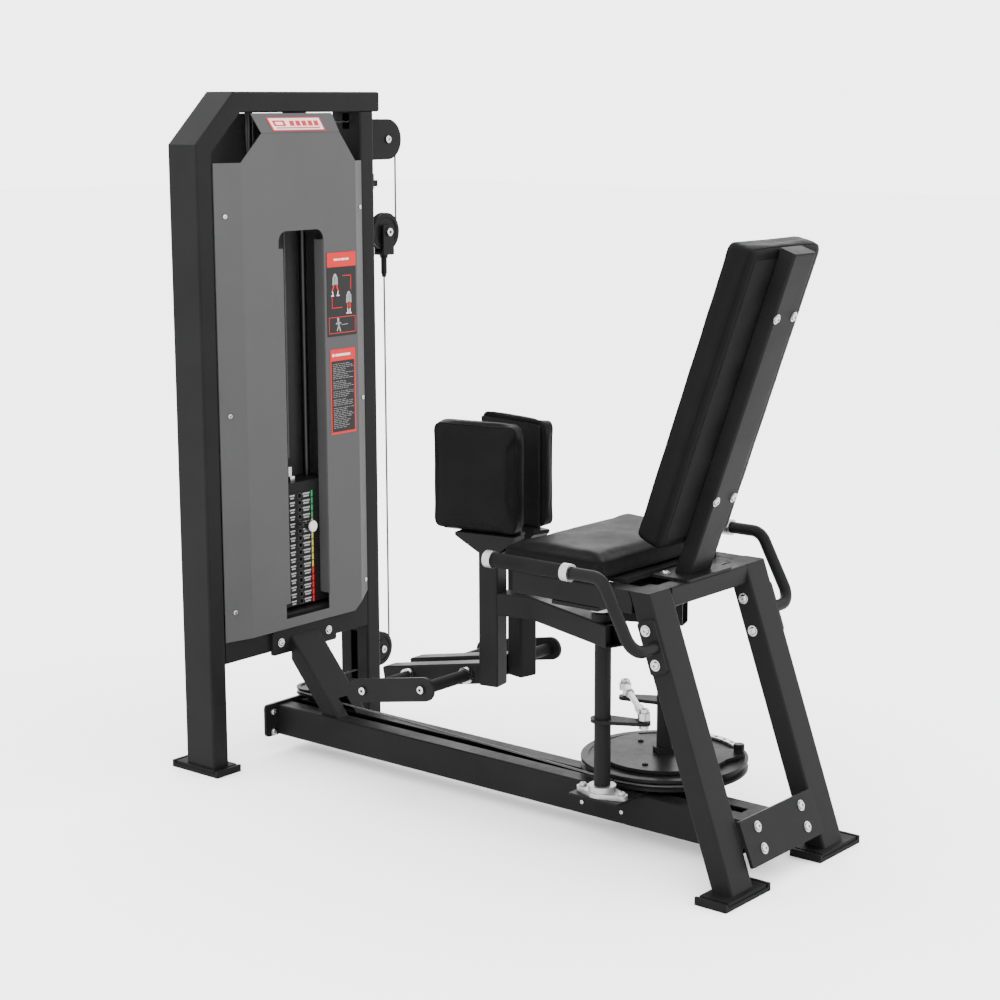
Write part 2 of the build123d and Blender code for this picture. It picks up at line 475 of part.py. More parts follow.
LB = BEAM_Z1 + 5.0
save("flange_bearings", flange_bearing(-PIV_X, PIV_Y, LB), flange_bearing(-PIV_X, PIV_Y, 572, True), flange_bearing(PIV_X, PIV_Y, 572, True),
     zcyl(PIV_X, PIV_Y, LB, DISC_Z0 - GAP, 30) - zcyl(PIV_X, PIV_Y, LB - 1, DISC_Z0 + 1, SHAFT_R + PIN_CLEAR))

# ================================================================ arms
fx, fy = 0.334, 0.943                     # rear stretch of the left arm tube
gx, gy = -0.182, 0.983                    # forward stretch
gl = math.hypot(gx, gy)
gx, gy = gx / gl, gy / gl
fl_ = math.hypot(fx, fy)
fx, fy = fx / fl_, fy / fl_
AZ = (ARM_Z0 + ARM_Z1) / 2
PEG_R = 14.5
FT_TILT = math.tan(math.radians(11.1))


def arm(side):
    """the left arm is laid out and mirrored for the right one"""
    out = {}
    z_lo = BEAM_Z1 + 6.0
    sh = zcyl(-PIV_X, PIV_Y, z_lo - 1, 578, SHAFT_R)
    collar = zcyl(-PIV_X, PIV_Y, ARM_Z1, 542, 26) - zcyl(-PIV_X, PIV_Y, 520, 550, SHAFT_R - 0.01)
    # lever from the shaft to the tie rod
    if side < 0:
        lz, tip = 298.0, (-85.0, -465.0)
    else:
        lz, tip = 287.0, (-85.0, -291.0)
    lev = Plane.XY * make_hull((Pos(-PIV_X, PIV_Y) * Circle(27)).edges() + (Pos(*tip) * Circle(15)).edges())
    lv = extrude(lev, amount=8, dir=(0, 0, 1)).moved(Location((0, 0, lz - 4)))
    if side < 0:
        lv = lv - zcyl(tip[0], tip[1], lz - 10, lz + 10, 6.05)
    shaft = sh + lv + collar
    # tube in two mitred stretches
    bend = Vector(-BEND_X, BEND_Y, AZ)
    f = Vector(fx, fy, 0)
    g = Vector(gx, gy, 0)
    p0 = Vector(-PIV_X, PIV_Y, AZ) - f * 45
    mit = (f + g).normalized()
    t1 = beam(tuple(p0), tuple(bend + f * 40), 50, ARM_Z1 - ARM_Z0, Vector(fy, -fx, 0), r=5) - half(tuple(bend), mit)
    t1 = t1 - zcyl(-PIV_X, PIV_Y, 400, 600, SHAFT_R)
    end = Vector(-POST_X, POST_Y, AZ) - g * 25
    t2 = beam(tuple(bend - g * 40), tuple(end), 50, ARM_Z1 - ARM_Z0, Vector(gy, -gx, 0), r=5) & half(tuple(bend), mit)
    # post, bracket
    w = Vector(-gy, gx, 0)                # outwards from the post
    pz0, pz1 = 303.0, 617.0
    post = beam((-POST_X, POST_Y, pz0), (-POST_X, POST_Y, pz1), 50, 50, Vector(gy, -gx, 0), r=5)
    # bottom cap of the post
    pcap = extrude(Plane(origin=(-POST_X, POST_Y, pz0 - 3), x_dir=Vector(gy, -gx, 0), z_dir=(0, 0, 1)) * RectangleRounded(48, 48, 4), amount=3)
    C = Vector(-POST_X, POST_Y, 0)
    pl = Plane(origin=C, x_dir=g, z_dir=-w)          # local x forward, local y up
    up_sign = pl.y_dir.Z
    tri = Polygon((-25, 617 * up_sign), (25, 617 * up_sign), (86, 652 * up_sign), (86, 660 * up_sign), (-70, 660 * up_sign), (-70, 652 * up_sign), align=None)
    brk = extrude(Plane(origin=C + w * 25, x_dir=g, z_dir=-w) * tri, amount=50, dir=-w)
    tri_i = Polygon((-22, 612 * up_sign), (22, 612 * up_sign), (83, 652 * up_sign), (83, 656.9 * up_sign), (-67, 656.9 * up_sign), (-67, 652 * up_sign), align=None)
    brk = brk - extrude(Plane(origin=C + w * 22, x_dir=g, z_dir=-w) * tri_i, amount=44, dir=-w)
    out["tube"] = [t1, t2, post, pcap, brk]
    # pad and its back plate
    bpz = Plane(origin=C - w * 11, x_dir=g, z_dir=w)
    ys = bpz.y_dir.Z
    def rect(plane, s0, s1, z0, z1, t, r):
        sk = Pos((s0 + s1) / 2, (z0 + z1) / 2 * ys) * RectangleRounded(s1 - s0, z1 - z0, r)
        return extrude(plane * sk, amount=t)
    back = rect(bpz, -72, 134, 660, 908, 6, 4)
    foot = bar(-72, 86, -25, 25, 660, 666)
    foot = foot.rotate(Axis.Z, math.degrees(math.atan2(gy, gx))).moved(Location((C.X, C.Y, 0)))
    foot = foot & half(tuple(C - w * 5), -w)
    plate_ = back + foot
    bolts = [head(tuple(C + g * sv - w * 11 + Vector(0, 0, zv)), tuple(-w), 7.5, 5) for sv, zv in ((0, 740), (0, 860), (62, 740), (62, 860))]
    out["plate"] = [plate_] + bolts
    pp = rect(Plane(origin=C - w * 5, x_dir=g, z_dir=w), -85, 147, 663, 922, 43, 26)
    pp = pp - foot - back
    pp = fillet(pp.edges().filter_by(lambda e: abs((e.center() - C).dot(w) - 38) < 0.6), 9)
    out["pad"] = [pp]
    # foot rest: tube, outer side plate and pegs
    ft = beam((-50, 12, 325), (-50, 315, 325 - 303 * FT_TILT), 50, 50, (1, 0, 0), r=5)
    ft = ft - half(tuple(C + g * 25), -g)
    fcap = extrude(Plane(origin=(-50, 315, 325 - 303 * FT_TILT), x_dir=(1, 0, 0), z_dir=(0, math.cos(math.radians(11.1)), -math.sin(math.radians(11.1)))) * RectangleRounded(48, 48, 4), amount=3)
    pegs = [(50.0, 316.0), (233.0, 281.0)]
    core = [xcyl(y, z, -232, -75, 9) for y, z in pegs]
    ty = Vector(0, math.cos(math.radians(11.1)), -math.sin(math.radians(11.1)))
    sp = Plane.YZ * make_hull((Pos(pegs[0][0] - 7, pegs[0][1] + 1.4) * Circle(28)).edges() + (Pos(pegs[1][0] + 20, pegs[1][1] - 3.9) * Circle(28)).edges())
    side_pl = extrude(sp, amount=8, dir=(1, 0, 0)).moved(Location((-240, 0, 0)))
    pb_ = [head((-240, y, z), (-1, 0, 0), 9, 6, 3) for y, z in pegs]
    out["foot"] = [ft, fcap, side_pl] + core + pb_
    rub = [xcyl(y, z, -231.8, -88, PEG_R) - xcyl(y, z, -235, -80, 9.02) for y, z in pegs]
    col = [xcyl(y, z, -87.8, -75.2, 19.5) - xcyl(y, z, -90, -70, 9.02) for y, z in pegs]
    out["pegs"] = rub + col
    out["shaft"] = [shaft]
    if side > 0:
        out = {k: [mx(i) for i in v] for k, v in out.items()}
    return out


for side, nm in ((-1, "left"), (1, "right")):
    a = arm(side)
    save(f"{nm}_arm_shaft", a["shaft"])
    save(f"{nm}_arm_tube", a["tube"])
    save(f"{nm}_pad_plate", a["plate"])
    save(f"{nm}_pad", a["pad"])
    save(f"{nm}_foot_rest", a["foot"])
    save(f"{nm}_foot_pegs", a["pegs"])

# tie rod between the lever tips
TL = Vector(-85, -465, 0)
TR = Vector(85, -291, 0)
zr = 314.0
tdir = (TR - TL).normalized()
eye_l = zcyl(TL.X, TL.Y, zr - 8, zr + 8, 14) - zcyl(TL.X, TL.Y, zr - 9, zr + 9, 6)
eye_r = zcyl(TR.X, TR.Y, zr - 8, zr + 8, 14) - zcyl(TR.X, TR.Y, zr - 9, zr + 9, 6)
body_ = rod(tuple(TL + tdir * 12 + Vector(0, 0, zr)), tuple(TR - tdir * 12 + Vector(0, 0, zr)), 7.0)
sleeve1 = rod(tuple(TL + tdir * 16 + Vector(0, 0, zr)), tuple(TL + tdir * 62 + Vector(0, 0, zr)), 10.5)
sleeve2 = rod(tuple(TR - tdir * 62 + Vector(0, 0, zr)), tuple(TR - tdir * 16 + Vector(0, 0, zr)), 10.5)
rod_all = body_ + sleeve1 + sleeve2 - zcyl(TL.X, TL.Y, 280, 340, 14) - zcyl(TR.X, TR.Y, 280, 340, 14)
bl = zcyl(TL.X, TL.Y, 282, zr + 12, 6.0)
bl2 = zcyl(TR.X, TR.Y, 292, zr + 12, 6.0)
hexes = [extrude(Plane.XY * RegularPolygon(11, 6), amount=8).moved(Location((t.X, t.Y, zr + 8.2))) - zcyl(t.X, t.Y, zr, zr + 30, 6.0) for t in (TL, TR)]
nut_l = extrude(Plane.XY * RegularPolygon(11, 6), amount=9).moved(Location((TL.X, TL.Y, 284.5))) - zcyl(TL.X, TL.Y, 280, 300, 6.0)
save("tie_rod", rod_all, eye_l, eye_r, bl, bl2, hexes, nut_l)

# ================================================================ cam disc
prof = [(SHAFT_R + PIN_CLEAR, DISC_Z0), (DISC_R - 1, DISC_Z0), (DISC_R, DISC_Z0 + 1), (DISC_R, DISC_Z0 + 6), (GROOVE_R - CABLE_R, BASE_PZ - 2.6), (GROOVE_R - CABLE_R, BASE_PZ + 2.6), (DISC_R, DISC_Z1 - 6), (DISC_R, DISC_Z1 - 1), (DISC_R - 1, DISC_Z1),
        (DISC_R - 18, DISC_Z1), (DISC_R - 19, DISC_Z1 - 2), (60, DISC_Z1 - 2), (58, DISC_Z1), (SHAFT_R + PIN_CLEAR, DISC_Z1)]
disc = revolve(make_face(Plane.XZ * Polyline(*prof, close=True)), Axis.Z)
disc = disc.moved(Location((PIV_X, PIV_Y, 0)))
save("cam_disc", disc)


def sector(r0, r1, a0, a1, z0, z1):
    n = 24
    pts = [(PIV_X + r1 * math.cos(math.radians(a0 + (a1 - a0) * i / n)), PIV_Y + r1 * math.sin(math.radians(a0 + (a1 - a0) * i / n))) for i in range(n + 1)]
    c0, c1 = pts[0], pts[-1]
    o = zcyl(PIV_X, PIV_Y, z0, z1, r1) - (zcyl(PIV_X, PIV_Y, z0 - 1, z1 + 1, r0) if r0 else bar(0, 0.001, 0, 0.001, 0, 0.001))
    big = 600
    am = (a0 + a1) / 2
    w_ = [(PIV_X, PIV_Y)] + [(PIV_X + big * math.cos(math.radians(a0 + (a1 - a0) * t)), PIV_Y + big * math.sin(math.radians(a0 + (a1 - a0) * t))) for t in (0, .25, .5, .75, 1)]
    return o & prism_z(w_, z0 - 2, z1 + 2)


arc = sector(172, 190, -38, 14, DISC_Z1 + 0.0, DISC_Z1 + 5)
for k in range(6):
    a = math.radians(-34 + k * 8.8)
    arc = arc - zcyl(PIV_X + 181 * math.cos(a), PIV_Y + 181 * math.sin(a), DISC_Z1 - 1, DISC_Z1 + 8, 5)
save("index_arc", arc)
sp_z = DISC_Z1 + GAP
st = sector(0, 150, 60, 300, sp_z, sp_z + 8) + zcyl(PIV_X, PIV_Y, sp_z, sp_z + 8, 60)
st = st + prism_z([(PIV_X + 10, PIV_Y - 140), (PIV_X + 30, PIV_Y - 40), (PIV_X + 75, PIV_Y - 75), (PIV_X + 130, PIV_Y - 128), (PIV_X + 96, PIV_Y - 158)], sp_z, sp_z + 8)
st = st + zcyl(PIV_X, PIV_Y, sp_z + 8, sp_z + 22, 27)
st = st - zcyl(PIV_X, PIV_Y, sp_z - 1, sp_z + 30, SHAFT_R)
KX, KY = PIV_X + 104, PIV_Y - 136
st = st - zcyl(KX, KY, sp_z - 1, sp_z + 30, 7.0 + PIN_CLEAR)
hous = zcyl(KX, KY, sp_z + 8, sp_z + 14, 12) - zcyl(KX, KY, sp_z, sp_z + 30, 7.0 + PIN_CLEAR)
save("start_plate", st, hous, head((PIV_X + 28, PIV_Y + 87, sp_z + 8), (0, 0, 1), 7, 4), head((PIV_X - 110, PIV_Y - 24, sp_z + 8), (0, 0, 1), 7, 4))
spn = zcyl(KX, KY, sp_z + 1.0, sp_z + 20, 7.0) + zcyl(KX, KY, sp_z + 14.3, sp_z + 27, 13)
spn = fillet(spn.edges().filter_by(GeomType.CIRCLE).sort_by(Axis.Z)[-1], 3)
save("start_pin", spn)

# ================================================================ fasteners of the frame
fb = []
for x in (-75, 75):
    for z in (52, 104):
        fb.append(head((x, BEAM_Y1, z), (0, -1, 0), 8, 5.5, 3))
for x in (-87, 87):
    for (y, z) in ((-760, 126), (-776, 80.5)):
        q = Vector(x, y, z)
        dpt = (q - pc).dot(nn)
        fb.append(head(tuple(q - nn * (dpt - 8.0)), tuple(nn), 9, 6, 3))
for x in (-86, 86):
    fb.append(head((x, 659.8, 296), (0, -1, 0), 8, 5.5, 3))
for y in (-278, -389):
    for s in (-1, 1):
        fb.append(head((s * BEAM_HALF, y, 70), (s, 0, 0), 5, 2.5))
for x in (-33, 33):
    for z in (802, 1200):
        p_ = back_pt(z, 0) + Vector(x, 0, 0)
        fb.append(head(tuple(p_), tuple(-bf_), 8, 5.5, 3))
for s in (-1, 1):
    for (y, z) in ((-574, 552), (-600, 482)):
        fb.append(head((s * (LEG_X1 + 6), y + 4, z), (s, 0, 0), 9, 6, 3))
        fb.append(head((s * LEG_X0, y + 4, z), (-s, 0, 0), 9, 6, 3))
    fb.append(head((s * 60, -500, SEAT_Z + 6), (0, 0, 1), 8, 5.5, 3))
for (x, z) in ((-240, 1372), (-240, 892), (-240, 404), (228, 1377), (228, 888), (228, 404)):
    if x < 0:
        yy = T_Y0 - 2 + (SHROUD_Y - T_Y0 + 2) * (x + 268) / 76.0
        n_ = (-16.0, -76.0, 0)
    else:
        yy = T_Y0 - 2 + (SHROUD_Y - T_Y0 + 2) * (243 - x) / 39.0
        n_ = (16.0, -39.0, 0)
    fb.append(head((x, yy, z), n_, 6, 3.5))
fb.append(head((60, BASE_PY - 60, BEAM_Z1), (0, 0, 1), 6, 3.5))
save("frame_bolts", fb)
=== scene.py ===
import bpy
import bmesh
import math
import random
from mathutils import Vector, Matrix, noise
from mathutils.bvhtree import BVHTree


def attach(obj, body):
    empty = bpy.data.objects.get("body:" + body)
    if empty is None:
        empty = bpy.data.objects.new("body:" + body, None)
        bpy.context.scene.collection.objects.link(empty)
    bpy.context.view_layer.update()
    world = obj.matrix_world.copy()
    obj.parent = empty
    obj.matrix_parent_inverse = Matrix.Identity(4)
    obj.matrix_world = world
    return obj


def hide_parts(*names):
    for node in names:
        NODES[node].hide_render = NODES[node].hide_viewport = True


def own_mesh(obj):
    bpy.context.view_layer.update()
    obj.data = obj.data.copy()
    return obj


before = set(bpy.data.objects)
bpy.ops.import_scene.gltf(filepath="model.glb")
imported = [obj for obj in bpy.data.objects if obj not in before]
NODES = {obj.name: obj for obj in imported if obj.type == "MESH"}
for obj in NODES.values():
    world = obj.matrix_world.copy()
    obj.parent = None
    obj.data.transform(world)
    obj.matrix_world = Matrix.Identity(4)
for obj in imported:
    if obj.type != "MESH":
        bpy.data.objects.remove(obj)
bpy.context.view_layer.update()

SX, SY = 0.054, 0.00175                     # layout numbers to the model's frame


def W(x, y, z):
    """layout millimetres to the model's frame in metres"""
    return Vector((x / 1000 - SX, y / 1000 - SY, z / 1000))


# ------------------------------------------------------------------ materials
def new_mat(name):
    m = bpy.data.materials.new(name)
    m.use_nodes = True
    nt = m.node_tree
    nt.nodes.clear()
    out = nt.nodes.new("ShaderNodeOutputMaterial")
    b = nt.nodes.new("ShaderNodeBsdfPrincipled")
    nt.links.new(b.outputs[0], out.inputs[0])
    return m, nt, b


def coords(nt, scale=(1, 1, 1), rot=(0, 0, 0)):
    tc = nt.nodes.new("ShaderNodeTexCoord")
    mp = nt.nodes.new("ShaderNodeMapping")
    mp.inputs["Scale"].default_value = scale
    mp.inputs["Rotation"].default_value = rot
    nt.links.new(tc.outputs["Object"], mp.inputs["Vector"])
    return mp.outputs["Vector"]


def noise_n(nt, vec, scale, detail=4, rough=0.55):
    n = nt.nodes.new("ShaderNodeTexNoise")
    n.inputs["Scale"].default_value = scale
    n.inputs["Detail"].default_value = detail
    n.inputs["Roughness"].default_value = rough
    nt.links.new(vec, n.inputs["Vector"])
    return n.outputs["Fac"]


def ramp(nt, fac, stops):
    r = nt.nodes.new("ShaderNodeValToRGB")
    el = r.color_ramp.elements
    while len(el) < len(stops):
        el.new(0.5)
    for e, (p, c) in zip(el, stops):
        e.position = p
        e.color = (*c, 1) if len(c) == 3 else c
    nt.links.new(fac, r.inputs["Fac"])
    return r.outputs["Color"]


def maprange(nt, fac, lo, hi, a=0.3, b=0.7):
    m = nt.nodes.new("ShaderNodeMapRange")
    m.inputs["From Min"].default_value = a
    m.inputs["From Max"].default_value = b
    m.inputs["To Min"].default_value = lo
    m.inputs["To Max"].default_value = hi
    nt.links.new(fac, m.inputs["Value"])
    return m.outputs["Result"]


def bump(nt, bsdf, heights, dist=0.0004):
    """heights: list of (socket, strength) stacked into one normal"""
    prev = None
    for h, s in heights:
        b = nt.nodes.new("ShaderNodeBump")
        b.inputs["Strength"].default_value = s
        b.inputs["Distance"].default_value = dist
        nt.links.new(h, b.inputs["Height"])
        if prev is not None:
            nt.links.new(prev, b.inputs["Normal"])
        prev = b.outputs["Normal"]
    nt.links.new(prev, bsdf.inputs["Normal"])


def powder(name, base, var=0.15, rlo=0.36, rhi=0.52, grain=900, strength=0.16, wear=None, spec=0.035):
    """powder coated steel: orange peel, cloudy gloss and faint handling marks"""
    m, nt, b = new_mat(name)
    v = coords(nt)
    cloud = noise_n(nt, v, 7, 5)
    peel = noise_n(nt, v, grain, 2)
    peel2 = noise_n(nt, v, 240, 3)
    sc = coords(nt, (1, 1, 14), (0.3, 0.2, 0))
    scr = noise_n(nt, sc, 55, 6, 0.7)
    lo = tuple(c * (1 - var) for c in base)
    hi = tuple(min(1, c * (1 + var)) for c in base)
    col = ramp(nt, cloud, [(0.3, lo), (0.7, hi)])
    if wear:
        spk = nt.nodes.new("ShaderNodeTexVoronoi")
        spk.inputs["Scale"].default_value = 420
        nt.links.new(v, spk.inputs["Vector"])
        mask = ramp(nt, spk.outputs["Distance"], [(0.02, (1, 1, 1)), (0.09, (0, 0, 0))])
        mx = nt.nodes.new("ShaderNodeMix")
        mx.data_type = "RGBA"
        nt.links.new(mask, mx.inputs["Factor"])
        nt.links.new(col, mx.inputs["A"])
        mx.inputs["B"].default_value = (*wear, 1)
        col = mx.outputs["Result"]
    nt.links.new(col, b.inputs["Base Color"])
    r1 = maprange(nt, cloud, rlo, rhi)
    r2 = maprange(nt, scr, -0.05, 0.05, 0.35, 0.75)
    add = nt.nodes.new("ShaderNodeMath")
    nt.links.new(r1, add.inputs[0])
    nt.links.new(r2, add.inputs[1])
    nt.links.new(add.outputs[0], b.inputs["Roughness"])
    bump(nt, b, [(peel2, strength), (peel, strength * 0.8)], 0.00025)
    b.inputs["Specular IOR Level"].default_value = spec
    return m


def steel(name, base=(0.72, 0.72, 0.73), rlo=0.14, rhi=0.32, stretch=(1, 1, 30), metallic=1.0):
    m, nt, b = new_mat(name)
    v = coords(nt)
    vs = coords(nt, stretch)
    c = noise_n(nt, v, 60, 5)
    g = noise_n(nt, vs, 260, 4, 0.7)
    nt.links.new(ramp(nt, c, [(0.3, tuple(x * 0.86 for x in base)), (0.7, base)]), b.inputs["Base Color"])
    b.inputs["Metallic"].default_value = metallic
    nt.links.new(maprange(nt, g, rlo, rhi), b.inputs["Roughness"])
    bump(nt, b, [(g, 0.12), (c, 0.08)], 0.0002)
    return m


def vinyl(name, base=(0.0028, 0.0028, 0.0030)):
    """grained upholstery vinyl"""
    m, nt, b = new_mat(name)
    v = coords(nt)
    vor = nt.nodes.new("ShaderNodeTexVoronoi")
    vor.feature = "DISTANCE_TO_EDGE"
    vor.inputs["Scale"].default_value = 520
    warp = noise_n(nt, v, 180, 3)
    mixv = nt.nodes.new("ShaderNodeVectorMath")
    mixv.operation = "ADD"
    sc = nt.nodes.new("ShaderNodeVectorMath")
    sc.operation = "SCALE"
    sc.inputs["Scale"].default_value = 0.002
    cmb = nt.nodes.new("ShaderNodeCombineXYZ")
    nt.links.new(warp, cmb.inputs[0])
    nt.links.new(warp, cmb.inputs[1])
    nt.links.new(cmb.outputs[0], sc.inputs[0])
    nt.links.new(v, mixv.inputs[0])
    nt.links.new(sc.outputs[0], mixv.inputs[1])
    nt.links.new(mixv.outputs[0], vor.inputs["Vector"])
    edge = ramp(nt, vor.outputs["Distance"], [(0.0, (0, 0, 0)), (0.12, (1, 1, 1))])
    cloud = noise_n(nt, v, 9, 5)
    fine = noise_n(nt, v, 1500, 2)
    nt.links.new(ramp(nt, cloud, [(0.3, tuple(c * 0.8 for c in base)), (0.72, tuple(c * 1.35 for c in base))]), b.inputs["Base Color"])
    nt.links.new(maprange(nt, cloud, 0.40, 0.54), b.inputs["Roughness"])
    b.inputs["Sheen Weight"].default_value = 0.0015
    b.inputs["Sheen Roughness"].default_value = 0.4
    wr = noise_n(nt, v, 26, 4, 0.6)
    b.inputs["Specular IOR Level"].default_value = 0.025
    bump(nt, b, [(wr, 0.12), (edge, 0.28), (fine, 0.06)], 0.0005)
    return m


def rubber(name, base=(0.012, 0.012, 0.012), scale=700, rough=0.62):
    m, nt, b = new_mat(name)
    v = coords(nt)
    n1 = noise_n(nt, v, scale, 3)
    n2 = noise_n(nt, v, 14, 5)
    nt.links.new(ramp(nt, n2, [(0.3, tuple(c * 0.75 for c in base)), (0.7, tuple(c * 1.5 for c in base))]), b.inputs["Base Color"])
    nt.links.new(maprange(nt, n2, rough - 0.07, rough + 0.08), b.inputs["Roughness"])
    b.inputs["Specular IOR Level"].default_value = 0.05
    bump(nt, b, [(n1, 0.35), (n2, 0.1)], 0.0003)
    return m


def printed(name, base, rough=0.38):
    m, nt, b = new_mat(name)
    v = coords(nt)
    n1 = noise_n(nt, v, 30, 4)
    n2 = noise_n(nt, v, 1400, 2)
    nt.links.new(ramp(nt, n1, [(0.3, tuple(c * 0.92 for c in base)), (0.7, base)]), b.inputs["Base Color"])
    nt.links.new(maprange(nt, n1, rough - 0.05, rough + 0.06), b.inputs["Roughness"])
    b.inputs["Specular IOR Level"].default_value = 0.12
    bump(nt, b, [(n2, 0.05)], 0.0002)
    return m


def strand(name, base=(0.02, 0.02, 0.021), axis="Z", pitch=520):
    """twisted wire under a thin black jacket"""
    m, nt, b = new_mat(name)
    v = coords(nt, (1, 1, 1), (0.5, 0.35, 0))
    w = nt.nodes.new("ShaderNodeTexWave")
    w.wave_type = "BANDS"
    w.bands_direction = axis
    w.inputs["Scale"].default_value = pitch
    w.inputs["Distortion"].default_value = 1.2
    nt.links.new(v, w.inputs["Vector"])
    nt.links.new(ramp(nt, w.outputs["Fac"], [(0.2, base), (0.9, tuple(c * 2.4 for c in base))]), b.inputs["Base Color"])
    nt.links.new(maprange(nt, w.outputs["Fac"], 0.5, 0.32), b.inputs["Roughness"])
    b.inputs["Metallic"].default_value = 0.3
    bump(nt, b, [(w.outputs["Fac"], 0.5)], 0.0005)
    return m


M_FRAME = powder("black_powder_coat", (0.0062, 0.0062, 0.0065))
M_FRAME2 = powder("black_plate_coat", (0.0062, 0.0062, 0.0065), rlo=0.32, rhi=0.46)
M_SHROUD = powder("grey_textured_coat", (0.037, 0.037, 0.0375), var=0.05, rlo=0.42, rhi=0.55, grain=1300, strength=0.3, wear=(0.060, 0.060, 0.061), spec=0.08)
M_STEEL = steel("bright_steel", (0.36, 0.36, 0.365))
# near-black rod steel: painted shade, the guide rods darkened far below bright steel so they read as shaded behind the
# shroud; the selector bushes share it
M_ROD_PAINTED_SHADE = steel("rod_steel_painted_shade", (0.03, 0.03, 0.032), 0.30, 0.48)
M_ZINC = steel("zinc_plated", (0.32, 0.32, 0.317), 0.28, 0.46)
M_CAST = steel("cast_silver", (0.30, 0.30, 0.297), 0.36, 0.55, (1, 1, 1))
M_IRON = powder("stack_iron", (0.006, 0.006, 0.0063), var=0.3, rlo=0.35, rhi=0.55, grain=500, strength=0.4)
M_VINYL = vinyl("black_vinyl")
M_SEAM = vinyl("seam_vinyl", (0.0020, 0.0020, 0.0021))
M_RUB = rubber("black_rubber", (0.0035, 0.0035, 0.0035))
M_GRIP = rubber("foam_grip", (0.0035, 0.0035, 0.0035), 1600, 0.72)
M_PLAST = rubber("pulley_nylon", (0.0035, 0.0035, 0.0035), 500, 0.36)
M_CABLE = strand("cable_jacket")
M_RED = printed("print_red", (0.34, 0.004, 0.006))
M_WHITE = printed("print_white", (0.42, 0.42, 0.42))
M_BLACK = printed("print_black", (0.0035, 0.0035, 0.0035))
M_GREEN = printed("print_green", (0.015, 0.16, 0.05))
M_YELL = printed("print_yellow", (0.34, 0.26, 0.02))
M_SKIN = printed("print_grey", (0.19, 0.19, 0.19))


def paint(node, mat):
    o = NODES[node]
    if not o.material_slots:
        o.data.materials.append(mat)
    for s in o.material_slots:
        s.link = "OBJECT"
        s.material = mat


ASSIGN = {
    M_FRAME: ["base_beam", "rear_legs", "tower_left_upright", "tower_top_beam", "tower_right_upright", "tower_crossbar", "diagonal_brace", "seat_frame", "backrest_tube", "side_handles", "left_arm_tube", "right_arm_tube", "left_arm_shaft", "right_arm_shaft", "left_foot_rest", "right_foot_rest"],
    M_FRAME2: ["base_end_plates", "bearing_plates", "seat_base_plate", "pulley_brackets", "left_pad_plate", "right_pad_plate", "cam_disc", "start_plate", "floating_strap", "floating_turnbuckle"],
    M_SHROUD: ["front_shroud", "rear_shroud"],
    # guide rods take the near-black rod steel, painted shade in place of their bright finish
    M_ROD_PAINTED_SHADE: ["guide_rods"],
    M_STEEL: ["selector_pin", "selector_stem", "frame_bolts", "pulley_axles"],
    M_ZINC: ["handle_collars", "tie_rod", "index_arc"],
    M_CAST: ["flange_bearings"],
    M_IRON: ["resting_plates", "lifted_plates", "top_plate"],
    M_RUB: ["foot_shoes", "left_foot_pegs", "right_foot_pegs"],
    M_GRIP: ["handle_grips"],
    M_PLAST: ["outer_top_pulley", "stack_pulley", "floating_pulley", "foot_pulley", "base_pulley", "start_pin"],
    M_CABLE: ["fixed_cable_runs", "disc_cable_end", "stack_cable_run", "floating_cable_runs", "drive_cable_run"],
}
for mat, names in ASSIGN.items():
    for n in names:
        paint(n, mat)


# ------------------------------------------------------------------ mesh helpers
def obj_from_bm(name, bm, mats, smooth=True):
    me = bpy.data.meshes.new(name)
    bmesh.ops.recalc_face_normals(bm, faces=bm.faces)
    bm.to_mesh(me)
    bm.free()
    o = bpy.data.objects.new(name, me)
    bpy.context.scene.collection.objects.link(o)
    for m in (mats if isinstance(mats, (list, tuple)) else [mats]):
        me.materials.append(m)
    if smooth:
        me.polygons.foreach_set("use_smooth", [True] * len(me.polygons))
        me.set_sharp_from_angle(angle=math.radians(35))
    return o


def add_box(bm, c, size, axes=None, bev=0.0, mi=0, seg=2):
    """bevelled block; axes is a 3x3 of unit columns"""
    t = bmesh.new()
    bmesh.ops.create_cube(t, size=1.0)
    bmesh.ops.scale(t, vec=size, verts=t.verts)
    if bev:
        bmesh.ops.bevel(t, geom=t.edges[:] , offset=bev, segments=seg, profile=0.5, affect="EDGES")
    mat = Matrix.Translation(c)
    if axes is not None:
        mat = mat @ axes.to_4x4()
    bmesh.ops.transform(t, matrix=mat, verts=t.verts)
    merge(bm, t, mi)


def merge(bm, t, mi=0):
    for f in t.faces:
        f.material_index = mi
    me = bpy.data.meshes.new("tmp")
    t.to_mesh(me)
    t.free()
    bm.from_mesh(me)
    bpy.data.meshes.remove(me)


def add_tube(bm, pts, r, n=16, closed=False, mi=0, caps=True):
    """round tube along points"""
    t = bmesh.new()
    rings = []
    N = len(pts)
    prev = None
    for i, p in enumerate(pts):
        a = pts[(i - 1) % N] if (closed or i > 0) else p
        b = pts[(i + 1) % N] if (closed or i < N - 1) else p
        d = (b - a).normalized()
        if prev is None:
            ref = Vector((0, 0, 1)) if abs(d.z) < 0.9 else Vector((1, 0, 0))
            u = d.cross(ref).normalized()
        else:
            u = (prev - d * prev.dot(d)).normalized()
        prev = u
        w = d.cross(u)
        rings.append([t.verts.new(p + (u * math.cos(2 * math.pi * k / n) + w * math.sin(2 * math.pi * k / n)) * r) for k in range(n)])
    M = N if closed else N - 1
    for i in range(M):
        A, B = rings[i], rings[(i + 1) % N]
        for k in range(n):
            t.faces.new((A[k], A[(k + 1) % n], B[(k + 1) % n], B[k]))
    if caps and not closed:
        t.faces.new(rings[0][::-1])
        t.faces.new(rings[-1])
    merge(bm, t, mi)


